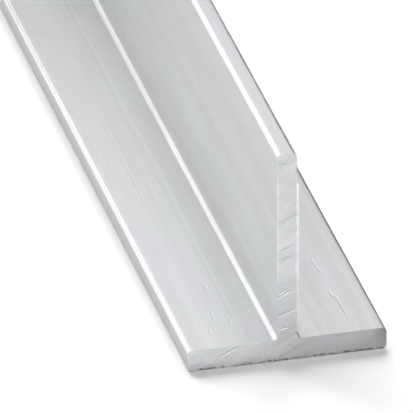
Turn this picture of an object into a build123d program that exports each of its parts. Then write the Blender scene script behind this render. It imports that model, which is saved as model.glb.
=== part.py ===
"""Aluminium T-section bar, 20 x 20 x 2 mm, in the one metre length that it is sold in.

It is one extruded piece of bare aluminium. A flange lies flat and a web stands up from
its middle. The die leaves every outside corner of the section rounded, with a small
fillet in the root on each side of the web. Both ends are plain saw cuts, square to the
bar.

The origin is on the underside, halfway along the bar and below the web. X runs across
the flange, Y along the bar, and Z up the web.
"""

import os

from build123d import *

# Driving dimensions, in millimetres
FLANGE_WIDTH = 20.0
FLANGE_THICKNESS = 2.0
OVERALL_HEIGHT = 20.0
WEB_THICKNESS = 2.0
BAR_LENGTH = 1000.0
CORNER_RADIUS = 0.4
ROOT_RADIUS = 0.4

with BuildPart() as t_bar:
    # The T stands upright in its sketch: X across the flange, Y up the web from the underside
    with BuildSketch(Plane.XZ) as t_section:
        Rectangle(FLANGE_WIDTH, FLANGE_THICKNESS, align=(Align.CENTER, Align.MIN))
        Rectangle(WEB_THICKNESS, OVERALL_HEIGHT, align=(Align.CENTER, Align.MIN))

        # Of the four corners level with the flange's top, the middle two are the roots
        flange_top = t_section.vertices().group_by(Axis.Y)[1]
        fillet(flange_top.sort_by(Axis.X)[1:3], ROOT_RADIUS)

        # The outside corners are two on each edge of the flange and two on top of the web
        by_width = t_section.vertices().group_by(Axis.X)
        flange_edges = by_width[0] + by_width[-1]
        web_top = t_section.vertices().group_by(Axis.Y)[-1]
        fillet(flange_edges + web_top, CORNER_RADIUS)

    extrude(amount=BAR_LENGTH / 2, both=True)

t_bar.part.label = "t_bar"

os.makedirs("parts", exist_ok=True)
export_step(t_bar.part, "parts/t_bar.step")
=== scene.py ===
"""Looks of the bare aluminium T-section bar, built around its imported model.

The bar lies flange down on a pale floor, with one sawn end close to the camera. Its long
faces are mill finish: soft silver with fine lines along the bar, just as the metal leaves
the extrusion die. Its ends are coarse saw cuts with tooth marks and a ragged lower edge.

The camera has an upright film plane, as a view camera has, so the web stands straight.
"""

from __future__ import annotations

import logging
import math
import random
from collections.abc import Callable
from dataclasses import dataclass, field, replace
from enum import Enum
from typing import Any

import bmesh
import bpy
from mathutils import Matrix, Vector

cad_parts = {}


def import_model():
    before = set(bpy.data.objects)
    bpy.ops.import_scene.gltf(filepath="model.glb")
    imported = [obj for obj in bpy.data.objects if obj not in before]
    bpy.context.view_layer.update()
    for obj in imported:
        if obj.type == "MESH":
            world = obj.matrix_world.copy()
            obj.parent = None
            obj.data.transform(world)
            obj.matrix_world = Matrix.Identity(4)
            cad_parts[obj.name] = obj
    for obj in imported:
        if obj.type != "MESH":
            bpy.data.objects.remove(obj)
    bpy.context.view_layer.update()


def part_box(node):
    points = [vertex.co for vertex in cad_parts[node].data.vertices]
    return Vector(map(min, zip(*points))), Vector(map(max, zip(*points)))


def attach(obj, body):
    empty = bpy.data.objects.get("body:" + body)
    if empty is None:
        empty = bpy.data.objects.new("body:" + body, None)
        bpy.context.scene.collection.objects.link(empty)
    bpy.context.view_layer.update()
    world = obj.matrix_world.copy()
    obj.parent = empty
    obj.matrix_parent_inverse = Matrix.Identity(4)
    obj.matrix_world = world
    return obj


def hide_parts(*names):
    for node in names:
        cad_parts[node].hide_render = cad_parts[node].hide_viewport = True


LOG = logging.getLogger("t_bar_scene")
MM = 0.001
IMAGE_SIDE = 413
# Nearly all of a noise lies within the wide span, and most of it within the main one
WIDE_SPAN = (0.25, 0.75)
MAIN_SPAN = (0.3, 0.7)
# A Mix node's sockets for two colours and their blend
COLOUR_A, COLOUR_B, COLOUR_OUT = 6, 7, 2


class SawnEnd(Enum):
    """A sawn end of the bar. Its value is the way that the cut faces along Y."""

    NEAR = -1
    FAR = 1


class MaterialPlace(Enum):
    """The bar's material slots, in the order that the mesh holds them."""

    SIDES = 0
    ENDS = 1


class Detail(Enum):
    """How many finer layers a pattern has on top of its own grain."""

    NONE = 0.0
    SLIGHT = 1.0
    MEDIUM = 2.0
    FINE = 3.0
    FINEST = 4.0


def linear_colour(hex_colour: str) -> tuple[float, float, float, float]:
    """Turn an sRGB colour into the linear one that a shader takes.

    Args:
        hex_colour: The colour as six hex digits, such as "D8DADB".

    Returns:
        Linear red, green and blue, and an alpha of 1.
    """
    parts = [int(hex_colour[i : i + 2], 16) / 255 for i in (0, 2, 4)]
    line = [c / 12.92 if c <= 0.04045 else ((c + 0.055) / 1.055) ** 2.4 for c in parts]
    return (*line, 1.0)


def direction(azimuth: float, elevation: float) -> Vector:
    """Say which way an azimuth and an elevation point, seen from the bar.

    Args:
        azimuth: Degrees clockwise from straight behind the bar, so 90 is on its right.
        elevation: Degrees above the floor.

    Returns:
        The way as a unit vector.
    """
    a, e = math.radians(azimuth), math.radians(elevation)
    return Vector((math.sin(a) * math.cos(e), math.cos(a) * math.cos(e), math.sin(e)))


def put_in_scene(name: str, data: bpy.types.ID | None) -> bpy.types.Object:
    """Make an object of some data, and put it in the scene.

    Args:
        name: The object's name.
        data: Its mesh, light or camera, or nothing for a bare stand.

    Returns:
        The object.
    """
    item = bpy.data.objects.new(name, data)
    bpy.context.scene.collection.objects.link(item)
    return item


def new_material(name: str) -> bpy.types.Material:
    """Start a material that is made of nodes.

    Args:
        name: The material's name.

    Returns:
        The material, with a plain shader in it.
    """
    made = bpy.data.materials.new(name)
    made.use_nodes = True
    return made


def feed(tree: bpy.types.NodeTree, node: bpy.types.Node, inputs: dict[str | int, Any]) -> None:
    """Give a node its inputs.

    Args:
        tree: The tree that holds the node.
        node: The node.
        inputs: A value, or another node's output to link, for each named input.
    """
    for key, value in inputs.items():
        if isinstance(value, bpy.types.NodeSocket):
            tree.links.new(value, node.inputs[key])
        else:
            node.inputs[key].default_value = value


def add_node(
    tree: bpy.types.NodeTree,
    kind: str,
    inputs: dict[str | int, Any] | None = None,
    **settings: Any,
) -> bpy.types.Node:
    """Add a node to a tree, with its settings, values and links.

    Args:
        tree: The tree that gets the node.
        kind: The node's type, such as "ShaderNodeTexNoise".
        inputs: A value, or another node's output to link, for each named input.
        settings: Properties of the node itself, such as operation="ADD".

    Returns:
        The new node.
    """
    node = tree.nodes.new(kind)
    for name, value in settings.items():
        setattr(node, name, value)
    feed(tree, node, inputs or {})
    return node


@dataclass(frozen=True)
class Pattern:
    """An uneven pattern laid out on the object itself, whose grains have a real size.

    The grain's size is in millimetres along X, Y and Z, and its turn in degrees about them.
    The span is the stretch of the noise, from 0 to 1, over which the pattern goes from its
    low to its high value. A narrow span near 1 leaves only a few sharp marks.
    """

    size_mm: tuple[float, float, float]
    turn: tuple[float, float, float] = (0.0, 0.0, 0.0)
    detail: Detail = Detail.MEDIUM
    span: tuple[float, float] = MAIN_SPAN

    def lay(
        self, tree: bpy.types.NodeTree, low: float = 0.0, high: float = 1.0
    ) -> bpy.types.NodeSocket:
        """Add the pattern to a material.

        Args:
            tree: The material's tree.
            low: What the pattern gives below its span.
            high: What the pattern gives above its span.

        Returns:
            The pattern's output.
        """
        laid = add_node(
            tree,
            "ShaderNodeMapping",
            {
                "Vector": add_node(tree, "ShaderNodeTexCoord").outputs["Object"],
                "Rotation": [math.radians(angle) for angle in self.turn],
                "Scale": [size * MM for size in self.size_mm],
            },
            vector_type="TEXTURE",
        )
        noise = add_node(
            tree,
            "ShaderNodeTexNoise",
            {"Vector": laid.outputs[0], "Scale": 1.0, "Detail": self.detail.value},
        )
        return add_node(
            tree,
            "ShaderNodeMapRange",
            {
                "Value": noise.outputs["Fac"],
                "From Min": self.span[0],
                "From Max": self.span[1],
                "To Min": low,
                "To Max": high,
            },
            interpolation_type="SMOOTHSTEP",
        ).outputs[0]


@dataclass(frozen=True)
class Scratch:
    """One scratch on the top of the flange, in millimetres, with its turn in degrees.

    Its middle lies so far across from the middle of the bar, and so far behind the near
    end. It has its full depth within its core, which is a share of its half size.
    """

    across: float
    behind: float
    half_length: float
    turn: float
    half_width: float = 0.14
    core: float = 0.3

    def lay(self, tree: bpy.types.NodeTree, near_top: Vector) -> bpy.types.NodeSocket:
        """Mark the scratch out on the object.

        Args:
            tree: The material's tree.
            near_top: The middle of the flange's top at the near end, in metres.

        Returns:
            1 along the middle of the scratch, falling to 0 at its rim.
        """
        laid = add_node(
            tree,
            "ShaderNodeMapping",
            {
                "Vector": add_node(tree, "ShaderNodeTexCoord").outputs["Object"],
                "Location": near_top + Vector((self.across, self.behind, 0)) * MM,
                "Rotation": (0.0, 0.0, math.radians(self.turn)),
                "Scale": Vector((self.half_width, self.half_length, self.half_width)) * MM,
            },
            vector_type="TEXTURE",
        )
        reach = add_node(tree, "ShaderNodeVectorMath", {0: laid.outputs[0]}, operation="LENGTH")
        return add_node(
            tree,
            "ShaderNodeMapRange",
            {
                "Value": reach.outputs["Value"],
                "From Min": self.core,
                "From Max": 1.0,
                "To Min": 1.0,
                "To Max": 0.0,
            },
            interpolation_type="SMOOTHSTEP",
        ).outputs[0]


def pick(mode: str, test: Callable[[Any], bool]) -> int:
    """Select the parts of the mesh in edit mode that pass a test, and nothing else.

    Args:
        mode: "VERT", "EDGE" or "FACE".
        test: Says of each vertex, edge or face whether it is wanted.

    Returns:
        How many were selected.
    """
    bpy.ops.mesh.select_mode(type=mode)
    bpy.ops.mesh.select_all(action="DESELECT")
    mesh = bmesh.from_edit_mesh(bpy.context.edit_object.data)
    parts = {"VERT": mesh.verts, "EDGE": mesh.edges, "FACE": mesh.faces}[mode]
    wanted = [part for part in parts if test(part)]
    for part in wanted:
        part.select = True
    mesh.select_flush_mode()
    bmesh.update_edit_mesh(bpy.context.edit_object.data)
    return len(wanted)


def middle(part: Any) -> Vector:
    """Return the mean place of an edge's or a face's vertices."""
    return sum((v.co for v in part.verts), Vector()) / len(part.verts)


@dataclass(frozen=True)
class SawMark:
    """A tooth mark on a sawn end: a shallow groove, in millimetres across and up the face.

    Its lower flank is the steep one. It faces up and catches the light.
    """

    start: tuple[float, float]
    end: tuple[float, float]
    width: float
    lower_share: float = 0.36
    steepness: float = 0.47
    run_out: float = 0.2

    def along(self) -> Vector:
        """Return the way that the groove runs, as a unit vector across and up the face."""
        return (Vector(self.end) - Vector(self.start)).normalized()

    def place_of(self, point: Vector) -> tuple[float, float]:
        """Say where a point of the face lies beside the groove.

        Args:
            point: The point, in metres.

        Returns:
            How far the point is along the groove, and how far to its left, in millimetres.
        """
        way = self.along()
        reach = Vector((point.x / MM, point.z / MM)) - Vector(self.start)
        return reach.dot(way), way.x * reach.y - way.y * reach.x

    def depth(self) -> float:
        """Return how deep the groove is along its bottom, in millimetres."""
        return self.width * self.lower_share * self.steepness

    def depth_at(self, point: Vector) -> float:
        """Say how deep the groove is at a point.

        Args:
            point: The point, in metres.

        Returns:
            The depth in millimetres, which runs out at both ends and is 0 off the groove.
        """
        on, beside = self.place_of(point)
        length = (Vector(self.end) - Vector(self.start)).length
        share = self.lower_share if beside < 0 else 1 - self.lower_share
        across = 1 - abs(beside) / (share * self.width)
        along = min(on, length - on) / self.run_out + 1
        return self.depth() * max(0.0, min(across, 1.0)) * max(0.0, min(along, 1.0))


@dataclass(frozen=True)
class Speck:
    """A burr on a sawn end, or a pit in it where its lift is below 0, in millimetres."""

    place: tuple[float, float]
    lift: float
    radius: float = 0.14

    def covers(self, point: Vector) -> bool:
        """Say whether a point of the face, in metres, is on the speck."""
        return (Vector((point.x / MM, point.z / MM)) - Vector(self.place)).length < self.radius


# The tooth marks, burrs and pit that the photograph shows on the near end
NEAR_MARKS = (
    SawMark((-0.65, 19.1), (0.1, 19.06), width=0.34),
    SawMark((-0.9, 15.64), (-0.4, 15.88), width=0.24),
    SawMark((-0.97, 13.19), (0.97, 14.04), width=0.26),
    SawMark((-0.44, 10.67), (0.26, 10.89), width=0.26),
    SawMark((-0.89, 9.63), (0.39, 9.95), width=0.24),
    SawMark((-0.83, 6.08), (0.02, 6.52), width=0.26),
    SawMark((-0.77, 6.41), (-0.32, 6.7), width=0.22),
    SawMark((0.45, 6.55), (0.68, 6.59), width=0.24),
    SawMark((-1.0, 4.22), (0.57, 4.75), width=0.28),
    SawMark((-0.48, 3.05), (-0.1, 3.08), width=0.22),
    SawMark((-6.59, 1.09), (-5.17, 1.68), width=0.16),
)
NEAR_SPECKS = (
    Speck((0.87, 18.28), 0.05),
    Speck((-7.7, 0.67), 0.05),
    Speck((1.06, 2.34), -0.26),
    Speck((5.3, 1.98), 0.05),
    Speck((5.8, 1.98), 0.05),
    Speck((-4.4, 1.98), 0.04),
)


# The scratches that the photograph shows, right of the web and then left of it
NEAR_SCRATCHES = (
    Scratch(6.8, 5.6, 3.4, 1.0),
    Scratch(6.5, 7.7, 1.2, 4.0),
    Scratch(6.4, 14.6, 0.9, 3.0),
    Scratch(6.55, 13.0, 0.9, 3.0),
    Scratch(-6.9, 3.4, 1.0, -6.0),
    Scratch(-4.3, 1.8, 0.9, -6.0),
    Scratch(-5.9, 6.2, 1.6, -4.0),
    Scratch(-4.5, 5.0, 1.5, -5.0),
    Scratch(-5.1, 12.0, 1.3, -2.0),
)


@dataclass(frozen=True)
class MarkPattern:
    """Tooth marks strewn over an end that the photograph leaves out, in millimetres.

    Each mark starts on the left of the web and ends on its right, higher up by its slope.
    """

    seed: int = 11
    count: int = 6
    left: tuple[float, float] = (-0.95, -0.3)
    right: tuple[float, float] = (0.1, 0.95)
    lowest: float = 4.0
    pitch: float = 2.5
    drift: float = 0.5
    slope: tuple[float, float] = (0.35, 0.5)
    width: tuple[float, float] = (0.22, 0.36)

    def draw(self) -> tuple[SawMark, ...]:
        """Lay out the marks, one above the other.

        Returns:
            The marks, which are the same ones every time.
        """
        draw = random.Random(self.seed)
        marks = []
        for i in range(self.count):
            left, right = draw.uniform(*self.left), draw.uniform(*self.right)
            level = self.lowest + self.pitch * i + draw.uniform(-self.drift, self.drift)
            rise = (right - left) * draw.uniform(*self.slope)
            marks.append(SawMark((left, level), (right, level + rise), draw.uniform(*self.width)))
        return tuple(marks)


@dataclass(frozen=True)
class MillFinish:
    """Mill-finish aluminium, as it leaves the extrusion die.

    The eye sees a soft bright silver, drawn out in fine lines and wide faint bands along the
    bar, with a few short rub marks at a slight angle and small nicks on the rounded edges.
    Heights and depths are in millimetres.
    """

    name: str = "mill_finish_aluminium"
    cool_colour: str = "E3E4E7"
    warm_colour: str = "E3E5E4"
    # The rounded edges' colour: real burnish, lifted further into a painted highlight along them
    burnish_and_highlight_colour: str = "FAFBFC"
    tint: Pattern = Pattern((6.0, 22.0, 6.0), detail=Detail.SLIGHT, span=(0.36, 0.5))
    roughness: float = 0.36
    anisotropy: float = 0.6
    # A quarter turn, which spreads what the metal mirrors across the die lines
    anisotropy_turn: float = 0.25
    # Die lines are a few hundredths of a millimetre apart, which is too fine to show, so
    # they are drawn as coarse as one or two dots of the picture.
    die_lines: Pattern = Pattern((0.2, 40.0, 0.2), detail=Detail.FINEST, span=WIDE_SPAN)
    die_line_height: float = 0.0022
    bands: Pattern = Pattern((1.5, 130.0, 1.5), detail=Detail.FINE)
    band_shades: tuple[float, float] = (0.97, 1.02)
    band_dullness: float = 0.04
    haze: Pattern = Pattern((2.0, 7.0, 2.0), detail=Detail.FINE)
    haze_dullness: float = 0.04
    scratches: Pattern = Pattern((0.13, 5.0, 0.13), (3.0, 0.0, 4.0), Detail.NONE, (0.74, 0.82))
    rub_marks: Pattern = Pattern((0.11, 2.6, 0.11), (-9.0, 0.0, -11.0), Detail.NONE, (0.64, 0.76))
    rubbed_areas: Pattern = Pattern((5.0, 16.0, 5.0), span=(0.48, 0.6))
    mark_depth: float = 0.004
    mark_shade: float = 0.05
    near_scratch_depth: float = 0.012
    # The rounded edges are where the normal's X times its Z grows through this stretch
    edge_lean: tuple[float, float] = (0.05, 0.3)
    edge_polish: float = 0.05
    nicks: Pattern = Pattern((0.3, 1.4, 0.3), detail=Detail.SLIGHT, span=(0.56, 0.7))
    nick_depth: float = 0.003
    waves: Pattern = Pattern((0.7, 3.2, 0.7), detail=Detail.SLIGHT)
    wave_height: float = 0.006

    def edge_mask(self, tree: bpy.types.NodeTree) -> bpy.types.NodeSocket:
        """Find the rounded edges, whose normal is neither level nor upright.

        Args:
            tree: The material's tree.

        Returns:
            1 on the rounded edges and 0 on the flat faces.
        """
        normal = add_node(tree, "ShaderNodeTexCoord").outputs["Normal"]
        parts = add_node(tree, "ShaderNodeSeparateXYZ", {0: normal}).outputs
        leaning = add_node(
            tree, "ShaderNodeMath", {0: parts["X"], 1: parts["Z"]}, operation="MULTIPLY"
        )
        lean = add_node(tree, "ShaderNodeMath", {0: leaning.outputs[0]}, operation="ABSOLUTE")
        return add_node(
            tree,
            "ShaderNodeMapRange",
            {
                "Value": lean.outputs[0],
                "From Min": self.edge_lean[0],
                "From Max": self.edge_lean[1],
            },
            interpolation_type="SMOOTHSTEP",
        ).outputs[0]

    def mark_mask(self, tree: bpy.types.NodeTree) -> bpy.types.NodeSocket:
        """Strew long scratches over the bar, and short rub marks over its rubbed areas.

        Args:
            tree: The material's tree.

        Returns:
            1 on the marks and 0 off them.
        """
        rubbed = {0: self.rub_marks.lay(tree), 1: self.rubbed_areas.lay(tree)}
        marks = {**rubbed, 2: self.scratches.lay(tree)}
        return add_node(tree, "ShaderNodeMath", marks, operation="MULTIPLY_ADD").outputs[0]

    def relief(
        self,
        tree: bpy.types.NodeTree,
        edges: bpy.types.NodeSocket,
        marked: bpy.types.NodeSocket,
        near_top: Vector,
    ) -> bpy.types.NodeSocket:
        """Lay out the fine relief of the surface.

        Args:
            tree: The material's tree.
            edges: Where the rounded edges are.
            marked: Where the surface is scratched or rubbed.
            near_top: The middle of the flange's top at the near end, in metres.

        Returns:
            The height in millimetres.
        """
        sunk = [(marked, -self.mark_depth)]
        sunk += [(scratch.lay(tree, near_top), -self.near_scratch_depth) for scratch in NEAR_SCRATCHES]
        waves = self.waves.lay(tree, -self.wave_height, self.wave_height)
        nicked = {0: self.nicks.lay(tree), 1: -self.nick_depth, 2: waves}
        uneven = add_node(tree, "ShaderNodeMath", nicked, operation="MULTIPLY_ADD").outputs[0]
        height = self.die_lines.lay(tree, -self.die_line_height, self.die_line_height)
        for where, how_high in (*sunk, (edges, uneven)):
            layer = {0: where, 1: how_high, 2: height}
            height = add_node(tree, "ShaderNodeMath", layer, operation="MULTIPLY_ADD").outputs[0]
        return height

    def colour(
        self,
        tree: bpy.types.NodeTree,
        edges: bpy.types.NodeSocket,
        marked: bpy.types.NodeSocket,
    ) -> bpy.types.NodeSocket:
        """Tone the metal: cool and warm by turns, in faint bands, and brighter on the rounded edges,
        which are burnished and carry a painted highlight.

        Args:
            tree: The material's tree.
            edges: Where the rounded edges are.
            marked: Where the surface is scratched or rubbed.

        Returns:
            The metal's colour.
        """
        tint = {
            "Factor": self.tint.lay(tree),
            COLOUR_A: linear_colour(self.cool_colour),
            COLOUR_B: linear_colour(self.warm_colour),
        }
        metal = add_node(tree, "ShaderNodeMix", tint, data_type="RGBA").outputs[COLOUR_OUT]
        shades = {0: marked, 1: -self.mark_shade, 2: self.bands.lay(tree, *self.band_shades)}
        shade = add_node(tree, "ShaderNodeMath", shades, operation="MULTIPLY_ADD").outputs[0]
        toned = add_node(
            tree, "ShaderNodeVectorMath", {0: metal, "Scale": shade}, operation="SCALE"
        ).outputs[0]
        # The rounded edges get a brighter colour: partly burnish, partly a painted highlight
        burnish_and_highlight = {
            "Factor": edges,
            COLOUR_A: toned,
            COLOUR_B: linear_colour(self.burnish_and_highlight_colour),
        }
        return add_node(tree, "ShaderNodeMix", burnish_and_highlight, data_type="RGBA").outputs[COLOUR_OUT]

    def dullness(
        self, tree: bpy.types.NodeTree, edges: bpy.types.NodeSocket
    ) -> bpy.types.NodeSocket:
        """Make the metal duller in some bands and in a light haze, and smoother on the edges.

        Args:
            tree: The material's tree.
            edges: Where the rounded edges are.

        Returns:
            The roughness.
        """
        dull, bright = self.roughness + self.band_dullness, self.roughness - self.band_dullness
        hazy = {
            0: self.haze.lay(tree, -self.haze_dullness, self.haze_dullness),
            1: self.bands.lay(tree, dull, bright),
        }
        flat = add_node(tree, "ShaderNodeMath", hazy, operation="ADD").outputs[0]
        polish = {0: edges, 1: -self.edge_polish, 2: flat}
        return add_node(tree, "ShaderNodeMath", polish, operation="MULTIPLY_ADD").outputs[0]

    def material(self, near_top: Vector) -> bpy.types.Material:
        """Build the finish as a material.

        Args:
            near_top: The middle of the flange's top at the near end, in metres.

        Returns:
            The material.
        """
        made = new_material(self.name)
        tree = made.node_tree
        edges = self.edge_mask(tree)
        marked = self.mark_mask(tree)
        height = self.relief(tree, edges, marked, near_top)
        bump = add_node(tree, "ShaderNodeBump", {"Height": height, "Distance": MM})
        look = {
            "Base Color": self.colour(tree, edges, marked),
            "Metallic": 1.0,
            "Roughness": self.dullness(tree, edges),
            "Normal": bump.outputs[0],
            "Anisotropic": self.anisotropy,
            "Anisotropic Rotation": self.anisotropy_turn,
            "Tangent": add_node(tree, "ShaderNodeCombineXYZ", {"Y": 1.0}).outputs[0],
        }
        feed(tree, tree.nodes["Principled BSDF"], look)
        return made


@dataclass(frozen=True)
class SawnFinish:
    """Freshly sawn aluminium, straight off a coarse blade.

    The eye sees bright metal, duller than the long faces, with fine scores that rise to the right
    as the teeth went, soft bands between the tooth marks, and a few small pits darkened with painted
    shade.
    Heights and depths are in millimetres.
    """

    name: str = "sawn_aluminium"
    cool_colour: str = "DBDCDF"
    warm_colour: str = "DADDDA"
    tint: Pattern = Pattern((2.6, 2.6, 2.6), detail=Detail.SLIGHT, span=(0.35, 0.65))
    roughness: float = 0.5
    scores: Pattern = Pattern((3.0, 1.0, 0.13), (0.0, -24.0, 0.0), Detail.FINE)
    score_height: float = 0.003
    score_shades: tuple[float, float] = (0.98, 1.02)
    bands: Pattern = Pattern((7.0, 1.0, 1.2), (0.0, -24.0, 0.0), Detail.SLIGHT)
    band_height: float = 0.012
    band_shade: float = 0.03
    band_dullness: float = 0.05
    pits: Pattern = Pattern((0.28, 0.28, 0.2), detail=Detail.NONE, span=(0.74, 0.84))
    pit_depth: float = 0.012
    # Pits are darkened in colour as well as sunk: painted shade in the hollows
    pit_painted_shade: float = 0.12

    def layered(
        self,
        tree: bpy.types.NodeTree,
        scores: bpy.types.NodeSocket,
        bands: bpy.types.NodeSocket,
        pit: float,
    ) -> bpy.types.NodeSocket:
        """Lay the scores, the bands and the pits over one another.

        Args:
            tree: The material's tree.
            scores: What the scores give.
            bands: What the bands give.
            pit: What a pit takes away.

        Returns:
            The three together.
        """
        both = add_node(tree, "ShaderNodeMath", {0: scores, 1: bands}, operation="ADD").outputs[0]
        pitted = {0: self.pits.lay(tree), 1: -pit, 2: both}
        return add_node(tree, "ShaderNodeMath", pitted, operation="MULTIPLY_ADD").outputs[0]

    def material(self) -> bpy.types.Material:
        """Build the finish as a material.

        Returns:
            The material.
        """
        made = new_material(self.name)
        tree = made.node_tree
        tint = {
            "Factor": self.tint.lay(tree),
            COLOUR_A: linear_colour(self.cool_colour),
            COLOUR_B: linear_colour(self.warm_colour),
        }
        metal = add_node(tree, "ShaderNodeMix", tint, data_type="RGBA").outputs[COLOUR_OUT]
        shade = self.layered(
            tree,
            self.scores.lay(tree, *self.score_shades),
            self.bands.lay(tree, -self.band_shade, self.band_shade),
            # The pits' darkening here is painted shade
            self.pit_painted_shade,
        )
        toned = add_node(
            tree, "ShaderNodeVectorMath", {0: metal, "Scale": shade}, operation="SCALE"
        )
        height = self.layered(
            tree,
            replace(self.scores, span=WIDE_SPAN).lay(tree, -self.score_height, self.score_height),
            replace(self.bands, span=WIDE_SPAN).lay(tree, -self.band_height, self.band_height),
            self.pit_depth,
        )
        bump = add_node(tree, "ShaderNodeBump", {"Height": height, "Distance": MM})
        dull, bright = self.roughness + self.band_dullness, self.roughness - self.band_dullness
        look = {
            "Base Color": toned.outputs[0],
            "Metallic": 1.0,
            "Roughness": self.bands.lay(tree, dull, bright),
            "Normal": bump.outputs[0],
        }
        feed(tree, tree.nodes["Principled BSDF"], look)
        return made


@dataclass
class TBar:
    """The bar itself, one extruded piece with two sawn ends."""

    low: Vector
    high: Vector
    flange_thickness: float = 2.0 * MM
    web_thickness: float = 2.0 * MM
    corner_radius: float = 0.4 * MM
    arc_steps: int = 6
    arc_profile: float = 0.5
    smooth_angle: float = math.radians(18)
    cell: float = 0.2 * MM
    snap: float = 0.004 * MM
    tolerance: float = 0.01 * MM
    burr_height: float = 0.06 * MM
    edge_zone: float = 0.35 * MM
    worn_stretch_mm: tuple[float, float] = (7.3, 17.7)
    worn_slant: float = 0.02 * MM
    lip_stretch_mm: tuple[float, float] = (2.5, 17.1)
    lip_width: float = 0.03 * MM
    lip_reach: float = 0.16 * MM
    lip_rise: float = 0.055 * MM
    rag_step: float = 0.04 * MM
    # Each stretch of the lower edge is torn by so many steps, drawn from these
    rag_draw: tuple[int, ...] = (0, 0, 1, 1, 2, 3)
    rag_seed: int = 40
    mark_steps: int = 8
    # How squarely a face has to look along the bar to count as sawn
    sawn_share: float = 0.5
    # Across from the middle of the bar, and how deep
    die_scores_mm: tuple[tuple[float, float], ...] = (
        (-6.6, 0.006),
        (-4.0, 0.014),
        (-2.6, 0.005),
        (5.2, 0.008),
    )
    sides: MillFinish = field(default_factory=MillFinish)
    ends: SawnFinish = field(default_factory=SawnFinish)
    far_marks: MarkPattern = field(default_factory=MarkPattern)

    def draw_section(self) -> bpy.types.Object:
        """Draw the T at the near end, flange first and then the web.

        Returns:
            The flat section, in edit mode.
        """
        width = self.high.x - self.low.x
        bpy.ops.object.select_all(action="DESELECT")
        bpy.ops.mesh.primitive_plane_add(
            size=1,
            location=(0, self.low.y + self.burr_height, self.flange_thickness / 2),
            rotation=(math.pi / 2, 0, 0),
        )
        section = bpy.context.object
        section.name = "t_bar_dressed"
        section.scale = (width, self.flange_thickness, 1)
        bpy.ops.object.transform_apply(location=True, rotation=True, scale=True)
        bpy.ops.object.mode_set(mode="EDIT")
        for side in (-1, 1):
            bpy.ops.mesh.select_all(action="SELECT")
            bpy.ops.mesh.bisect(
                plane_co=(side * self.web_thickness / 2, 0, 0), plane_no=(1, 0, 0)
            )
        pick("EDGE", self.is_web_foot)
        rise = self.high.z - self.flange_thickness
        bpy.ops.mesh.extrude_region_move(TRANSFORM_OT_translate={"value": (0, 0, rise)})
        pick("FACE", lambda face: True)
        bpy.ops.mesh.dissolve_faces()
        return section

    def on_flange_top(self, place: Vector) -> bool:
        """Say whether a place is level with the top of the flange."""
        return abs(place.z - self.flange_thickness) < self.tolerance

    def is_web_foot(self, edge: bmesh.types.BMEdge) -> bool:
        """Say whether an edge is the middle stretch of the flange's top."""
        place = middle(edge)
        return self.on_flange_top(place) and abs(place.x) < self.web_thickness / 4

    def round_corners(self) -> None:
        """Round the outside corners and fillet the two roots, with the same radius."""

        def is_corner(vert: bmesh.types.BMVert) -> bool:
            """Say whether a vertex is a corner of the T and not a leftover under the web."""
            return vert.co.z > self.tolerance or abs(vert.co.x) > self.web_thickness

        pick("VERT", is_corner)
        bpy.ops.mesh.bevel(
            affect="VERTICES",
            offset=self.corner_radius,
            segments=self.arc_steps,
            profile=self.arc_profile,
        )

    def rule_grid(self) -> None:
        """Rule the section into small cells, which later carry the saw's marks."""
        for axis in (0, 2):
            span = self.high[axis] - self.low[axis]
            normal = [0, 0, 0]
            normal[axis] = 1
            for i in range(1, round(span / self.cell)):
                place = [0, 0, 0]
                place[axis] = self.low[axis] + i * self.cell
                bpy.ops.mesh.select_all(action="SELECT")
                bpy.ops.mesh.bisect(plane_co=place, plane_no=normal)

    def score_die_lines(self) -> None:
        """Sink the few lines that the die left in the top of the flange."""
        for across, depth in self.die_scores_mm:

            def on_line(vert: bmesh.types.BMVert, across: float = across) -> bool:
                """Say whether a vertex is where the line crosses the section."""
                near = abs(vert.co.x - across * MM) < self.cell / 4
                return near and self.on_flange_top(vert.co)

            pick("VERT", on_line)
            bpy.ops.transform.translate(value=(0, 0, -depth * MM))

    def extrude_bar(self) -> None:
        """Draw the section out to the bar's length, as the die does."""
        bpy.ops.mesh.select_all(action="SELECT")
        length = self.high.y - self.low.y - 2 * self.burr_height
        bpy.ops.mesh.extrude_region_move(TRANSFORM_OT_translate={"value": (0, length, 0)})
        bpy.ops.mesh.select_all(action="SELECT")
        bpy.ops.mesh.normals_make_consistent(inside=False)

    def end_level(self, end: SawnEnd) -> float:
        """Return where a sawn end's flat face lies along Y."""
        outermost = self.low.y if end is SawnEnd.NEAR else self.high.y
        return outermost - end.value * self.burr_height

    def on_end(self, place: Vector, end: SawnEnd) -> bool:
        """Say whether a place lies on a sawn end, or in one of its marks."""
        return abs(place.y - self.end_level(end)) < self.edge_zone / 2

    def part_edge_zones(self) -> None:
        """Cut a ring just behind each sawn end, so that its burrs don't reach along the bar."""
        for end in SawnEnd:
            ring = self.end_level(end) - end.value * self.edge_zone
            bpy.ops.mesh.select_all(action="SELECT")
            bpy.ops.mesh.bisect(plane_co=(0, ring, 0), plane_no=(0, 1, 0))

    def sink_mark(self, end: SawnEnd, mark: SawMark) -> None:
        """Cut a tooth mark into a sawn end, as a groove that runs out at both ends.

        Args:
            end: The sawn end.
            mark: The tooth mark.
        """
        way = mark.along()
        beside = Vector((-way.y, 0, way.x))
        start = Vector((mark.start[0] * MM, 0, mark.start[1] * MM))
        length = (Vector(mark.end) - Vector(mark.start)).length

        def is_near(face: bmesh.types.BMFace) -> bool:
            """Say whether a face is on the sawn end and close to the mark.

            Args:
                face: The face.

            Returns:
                Whether the mark can reach it.
            """
            place = middle(face)
            on, off = mark.place_of(place)
            close = -mark.width < on < length + mark.width and abs(off) < mark.width + self.cell / MM
            return close and self.on_end(place, end)

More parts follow.
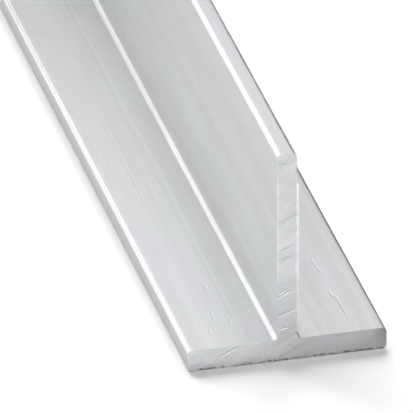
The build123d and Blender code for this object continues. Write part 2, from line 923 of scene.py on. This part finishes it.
        for share in (-mark.lower_share, 1 - mark.lower_share, 0):
            pick("FACE", is_near)
            place = start + beside * share * mark.width * MM
            bpy.ops.mesh.bisect(plane_co=place, plane_no=beside, threshold=self.snap)
        for step in range(1, self.mark_steps + 1):

            def is_this_deep(vert: bmesh.types.BMVert, step: int = step) -> bool:
                """Say whether a vertex is in the groove, at this step of its depth."""
                share = mark.depth_at(vert.co) / mark.depth()
                return round(share * self.mark_steps) == step and self.on_end(vert.co, end)

            if pick("VERT", is_this_deep):
                inward = mark.depth() * step / self.mark_steps
                bpy.ops.transform.translate(value=(0, -end.value * inward * MM, 0))

    def raise_speck(self, end: SawnEnd, speck: Speck) -> None:
        """Raise a burr on a sawn end, or sink a pit."""
        pick("VERT", lambda vert: self.on_end(vert.co, end) and speck.covers(vert.co))
        bpy.ops.transform.translate(value=(0, end.value * speck.lift * MM, 0))

    def wear_web_edges(self, end: SawnEnd) -> None:
        """Ease the web's left edge on a sawn end, and fold the burr out over its right edge.

        Args:
            end: The sawn end.
        """
        half = self.web_thickness / 2

        def is_web_margin(face: bmesh.types.BMFace) -> bool:
            """Say whether a face is the last cell before the web's right edge.

            Args:
                face: The face.

            Returns:
                Whether the burr folds out of it.
            """
            place = middle(face)
            upright = self.lip_stretch_mm[0] < place.z / MM < self.lip_stretch_mm[1]
            return upright and half - self.cell < place.x < half and self.on_end(place, end)

        pick("FACE", is_web_margin)
        fold = (half - self.lip_width, 0, 0)
        bpy.ops.mesh.bisect(plane_co=fold, plane_no=(1, 0, 0), threshold=self.snap)
        worn = (0, -end.value * self.worn_slant, 0)
        folded = (self.lip_reach, end.value * self.lip_rise, 0)
        for side, stretch, move in (
            (-1, self.worn_stretch_mm, worn),
            (1, self.lip_stretch_mm, folded),
        ):

            def on_edge(
                vert: bmesh.types.BMVert,
                edge: float = side * half,
                stretch: tuple[float, float] = stretch,
            ) -> bool:
                """Say whether a vertex is on that upright edge of the web's cut face."""
                upright = stretch[0] < vert.co.z / MM < stretch[1]
                return upright and abs(vert.co.x - edge) < self.snap and self.on_end(vert.co, end)

            pick("VERT", on_edge)
            bpy.ops.transform.translate(value=move)

    def rag_lower_edge(self, end: SawnEnd) -> None:
        """Tear the lower edge of a sawn end, where the teeth broke out of the metal.

        Args:
            end: The sawn end.
        """
        draw = random.Random(self.rag_seed + end.value)
        count = round((self.high.x - self.low.x) / self.cell) + 1
        levels = [draw.choice(self.rag_draw) for _ in range(count)]
        for level in range(1, max(self.rag_draw) + 1):

            def is_torn(vert: bmesh.types.BMVert, level: int = level) -> bool:
                """Say whether a vertex of the lower edge is torn up to this level."""
                along = round((vert.co.x - self.low.x) / self.cell)
                return vert.co.z < self.cell / 4 and levels[along] == level and self.on_end(vert.co, end)

            if pick("VERT", is_torn):
                lift = level * self.rag_step
                bpy.ops.transform.translate(value=(0, -end.value * lift / 2, lift))

    def saw_end(self, end: SawnEnd) -> None:
        """Finish one end as the saw leaves it.

        Args:
            end: The sawn end. The near one has the marks that the photograph shows.
        """
        marks, specks = NEAR_MARKS, NEAR_SPECKS
        if end is SawnEnd.FAR:
            marks, specks = self.far_marks.draw(), ()
        for mark in marks:
            self.sink_mark(end, mark)
        for speck in specks:
            self.raise_speck(end, speck)
        self.wear_web_edges(end)
        self.rag_lower_edge(end)

    def dress(self, bar: bpy.types.Object) -> None:
        """Give the long faces and the sawn ends their finishes.

        Args:
            bar: The finished bar, in object mode.
        """
        near_top = Vector((0, self.low.y, self.flange_thickness))
        bar.data.materials.append(self.sides.material(near_top))
        bar.data.materials.append(self.ends.material())
        for face in bar.data.polygons:
            along = abs(face.normal.y) > self.sawn_share
            sawn = along and any(self.on_end(face.center, end) for end in SawnEnd)
            face.material_index = (MaterialPlace.ENDS if sawn else MaterialPlace.SIDES).value

    def build(self) -> bpy.types.Object:
        """Model the bar, give it its finishes and put it in the place of the plain one.

        Returns:
            The dressed bar.
        """
        bar = self.draw_section()
        self.round_corners()
        self.rule_grid()
        self.score_die_lines()
        self.extrude_bar()
        self.part_edge_zones()
        for end in SawnEnd:
            self.saw_end(end)
        bpy.ops.object.mode_set(mode="OBJECT")
        bpy.ops.object.shade_smooth_by_angle(angle=self.smooth_angle)
        self.dress(bar)
        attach(bar, "root")
        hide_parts("t_bar")
        LOG.info("%s: %d faces", bar.name, len(bar.data.polygons))
        return bar


@dataclass(frozen=True)
class TentPanel:
    """A soft panel of the light tent. It is far off, so it lights the whole bar evenly.

    It is at full strength within its core angle and fades out at its edge angle. All its
    angles are in degrees.
    """

    name: str
    azimuth: float
    elevation: float
    core: float
    edge: float
    strength: float


@dataclass(frozen=True)
class FloorLamp:
    """A broad distant lamp that lights the floor and draws the bar's soft shadow on it.

    All its angles are in degrees.
    """

    name: str
    azimuth: float
    elevation: float
    spread: float
    strength: float


@dataclass(frozen=True)
class Card:
    """A bright card near the sawn end, in millimetres from the middle of the bar's near foot.

    It faces the place that it is aimed at.
    """

    name: str
    place: tuple[float, float, float]
    size: tuple[float, float]
    strength: float
    aim: tuple[float, float, float] = (0.0, 0.0, 0.0)


@dataclass(frozen=True)
class Flag:
    """A black card that only the metal mirrors, in millimetres from the middle of the near foot."""

    name: str
    height: float
    corners: tuple[tuple[float, float], ...]


TENT = (
    TentPanel("rear_high", 5, 48, 8, 24, 1.25),
    TentPanel("rear_left", -14, 25, 6, 18, 0.35),
    TentPanel("rear_left_low", -32, 6, 5, 18, 1.25),
    TentPanel("left", -70, 20, 8, 24, 0.3),
    TentPanel("right", 80, 28, 20, 42, 0.8),
    TentPanel("front_low", 175, 8, 12, 36, 0.5),
    TentPanel("front", 168, 26, 8, 24, 1.2),
)
FLOOR_LAMPS = (
    FloorLamp("overhead", 0, 90, 120, 0.75),
    FloorLamp("rear", -5, 32, 60, 4.7),
    FloorLamp("right", 90, 63, 12, 0.6),
)
CARDS = (
    Card("left_card", (-60, 130, 70), (110, 60), 0.42),
    Card("far_card", (60, 300, 190), (240, 130), 0.68),
    Card("low_front_card", (-30, -30, 8), (30, 16), 5.5),
    Card("foot_card", (-14, -40, 7), (40, 10), 1.6),
    Card("toe_card", (-4.6, -3, 0.35), (9, 0.6), 0.9, (-4.6, 0, 0.35)),
    Card("web_card", (2, -8, 6.4), (2.5, 1.2), 1.5, (0, 0, 10)),
)
FLAGS = (
    Flag("right_flag", 0.02, ((10.4, 0), (20, 0), (45, 60), (70, 180), (50, 250), (10.4, 125))),
    Flag("front_flag", 0.02, ((9.8, -5), (10.4, -8), (40, -8), (40, -0.6), (9.8, -0.6))),
    Flag("rear_flag", 60, ((-45, 194), (0, 200), (60, 205), (60, 330), (-45, 330))),
)


@dataclass
class Studio:
    """The pale floor, the soft light and the camera."""

    # How bright the tent is between its panels, and how bright the camera sees it
    glow: float = 0.12
    backdrop: float = 1.2
    light_colour: str = "FFFFFF"
    floor_side_m: float = 60.0
    floor_drop_mm: float = 0.01
    floor_colour: str = "FFFFFF"
    floor_mirrored_colour: str = "D8D8D8"
    flag_colour: str = "181818"
    camera_azimuth: float = -14.15
    camera_elevation: float = 25.35
    camera_distance_m: float = 1.6
    pixels_per_mm: float = 10.28
    aim_right_mm: float = -7.86
    aim_up_mm: float = 14.94

    def lay_floor(self) -> None:
        """Lay a plain pale floor just under the bar.

        The photograph's floor is pushed to pure white, brighter than what the metal mirrors,
        so the camera sees the floor paler than the metal does.
        """
        bpy.ops.object.select_all(action="DESELECT")
        place = (0, 0, -self.floor_drop_mm * MM)
        bpy.ops.mesh.primitive_plane_add(size=self.floor_side_m, location=place)
        floor = bpy.context.object
        floor.name = "floor"
        made = new_material("matt_white_card")
        tree = made.node_tree
        tree.nodes.remove(tree.nodes["Principled BSDF"])
        shades = {
            "Factor": add_node(tree, "ShaderNodeLightPath").outputs["Is Camera Ray"],
            COLOUR_A: linear_colour(self.floor_mirrored_colour),
            COLOUR_B: linear_colour(self.floor_colour),
        }
        shade = add_node(tree, "ShaderNodeMix", shades, data_type="RGBA").outputs[COLOUR_OUT]
        pale = add_node(tree, "ShaderNodeBsdfDiffuse", {"Color": shade})
        tree.links.new(pale.outputs[0], tree.nodes["Material Output"].inputs["Surface"])
        floor.data.materials.append(made)

    def lay_flags(self, low: Vector) -> None:
        """Lay the black cards that the metal mirrors beside and behind the near end.

        They are covered in black flock, which swallows all light, so the metal turns dark
        where it mirrors them.

        Args:
            low: The bar's lowest corner, whose Y is the near end.
        """
        made = new_material("black_flock")
        look = {"Base Color": linear_colour(self.flag_colour), "Specular IOR Level": 0.0}
        feed(made.node_tree, made.node_tree.nodes["Principled BSDF"], look)
        for flag in FLAGS:
            sheet = bpy.data.meshes.new(flag.name)
            corners = [(x * MM, low.y + y * MM, flag.height * MM) for x, y in flag.corners]
            sheet.from_pydata(corners, [], [range(len(corners))])
            sheet.materials.append(made)
            laid = put_in_scene(flag.name, sheet)
            laid.visible_camera = False
            laid.visible_diffuse = False
            laid.visible_shadow = False

    def raise_tent(self) -> None:
        """Surround the bar with the light tent: an even glow and the soft panels."""
        world = bpy.data.worlds.new("light_tent")
        bpy.context.scene.world = world
        world.use_nodes = True
        world.cycles_visibility.diffuse = False
        tree = world.node_tree
        tree.nodes["Background"].inputs["Color"].default_value = linear_colour(self.light_colour)
        way = add_node(tree, "ShaderNodeTexCoord").outputs["Generated"]
        light = add_node(tree, "ShaderNodeValue").outputs[0]
        light.default_value = self.glow
        for panel in TENT:
            facing = add_node(
                tree,
                "ShaderNodeVectorMath",
                {0: way, 1: direction(panel.azimuth, panel.elevation)},
                operation="DOT_PRODUCT",
            )
            lit = add_node(
                tree,
                "ShaderNodeMapRange",
                {
                    "Value": facing.outputs["Value"],
                    "From Min": math.cos(math.radians(panel.edge)),
                    "From Max": math.cos(math.radians(panel.core)),
                    "To Min": 0.0,
                    "To Max": panel.strength,
                },
                interpolation_type="SMOOTHSTEP",
            )
            light = add_node(
                tree, "ShaderNodeMath", {0: light, 1: lit.outputs[0]}, operation="ADD"
            ).outputs[0]
        ray = add_node(tree, "ShaderNodeLightPath")
        seen = add_node(
            tree,
            "ShaderNodeMix",
            {"Factor": ray.outputs["Is Camera Ray"], "A": light, "B": self.backdrop},
            data_type="FLOAT",
        )
        tree.links.new(seen.outputs[0], tree.nodes["Background"].inputs["Strength"])

    def hang_lamps(self) -> None:
        """Hang the floor's lamps, whose light the metal doesn't mirror."""
        for lamp in FLOOR_LAMPS:
            data = bpy.data.lights.new(lamp.name, "SUN")
            data.energy = lamp.strength
            data.angle = math.radians(lamp.spread)
            hung = put_in_scene(lamp.name, data)
            towards = direction(lamp.azimuth, lamp.elevation)
            hung.rotation_euler = towards.to_track_quat("Z", "Y").to_euler()
            hung.visible_glossy = False

    def stand_cards(self, low: Vector) -> None:
        """Stand the bright cards near the sawn end, where only the metal mirrors them.

        Args:
            low: The bar's lowest corner, whose Y is the near end.
        """
        foot = Vector((0, low.y, low.z))
        for card in CARDS:
            data = bpy.data.lights.new(card.name, "AREA")
            data.shape = "RECTANGLE"
            data.size, data.size_y = card.size[0] * MM, card.size[1] * MM
            # The strength is the card's brightness, so a larger card gives more light
            data.energy = card.strength * math.pi * data.size * data.size_y
            stood = put_in_scene(card.name, data)
            stood.location = foot + Vector(card.place) * MM
            facing = Vector(card.place) - Vector(card.aim)
            stood.rotation_euler = facing.to_track_quat("Z", "Y").to_euler()
            stood.visible_camera = False
            stood.visible_diffuse = False

    def set_camera(self, low: Vector) -> None:
        """Place the camera at the photograph's angle, with its film plane upright.

        Args:
            low: The bar's lowest corner, whose Y is the near end.
        """
        a, e = math.radians(self.camera_azimuth), math.radians(self.camera_elevation)
        right = Vector((math.cos(a), math.sin(a), 0))
        up = Vector((0, 0, 1))
        back = Vector((math.sin(a) * math.cos(e), -math.cos(a) * math.cos(e), math.sin(e)))
        foot = Vector((0, low.y, low.z))
        aim = foot + right * self.aim_right_mm * MM + up * self.aim_up_mm * MM
        place = aim + back * self.camera_distance_m
        data = bpy.data.cameras.new("view_camera")
        data.lens = self.pixels_per_mm / MM * self.camera_distance_m / IMAGE_SIDE * data.sensor_width
        camera = put_in_scene("view_camera", data)
        camera.parent = put_in_scene("camera_stand", None)
        columns = Matrix((right, up, back)).transposed().to_4x4()
        camera.matrix_parent_inverse = Matrix.Translation(place) @ columns
        bpy.context.scene.camera = camera

    def build(self, low: Vector) -> None:
        """Set up the floor, the lights and the camera.

        Args:
            low: The bar's lowest corner, whose Y is the near end.
        """
        bpy.context.scene.view_settings.view_transform = "Standard"
        self.set_camera(low)
        self.lay_floor()
        self.lay_flags(low)
        self.raise_tent()
        self.hang_lamps()
        self.stand_cards(low)


def main() -> None:
    """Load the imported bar, dress it and set up the studio."""
    logging.basicConfig(level=logging.INFO, format="%(message)s")
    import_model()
    low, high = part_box("t_bar")
    TBar(low, high).build()
    Studio().build(low)


if __name__ == "__main__":
    main()
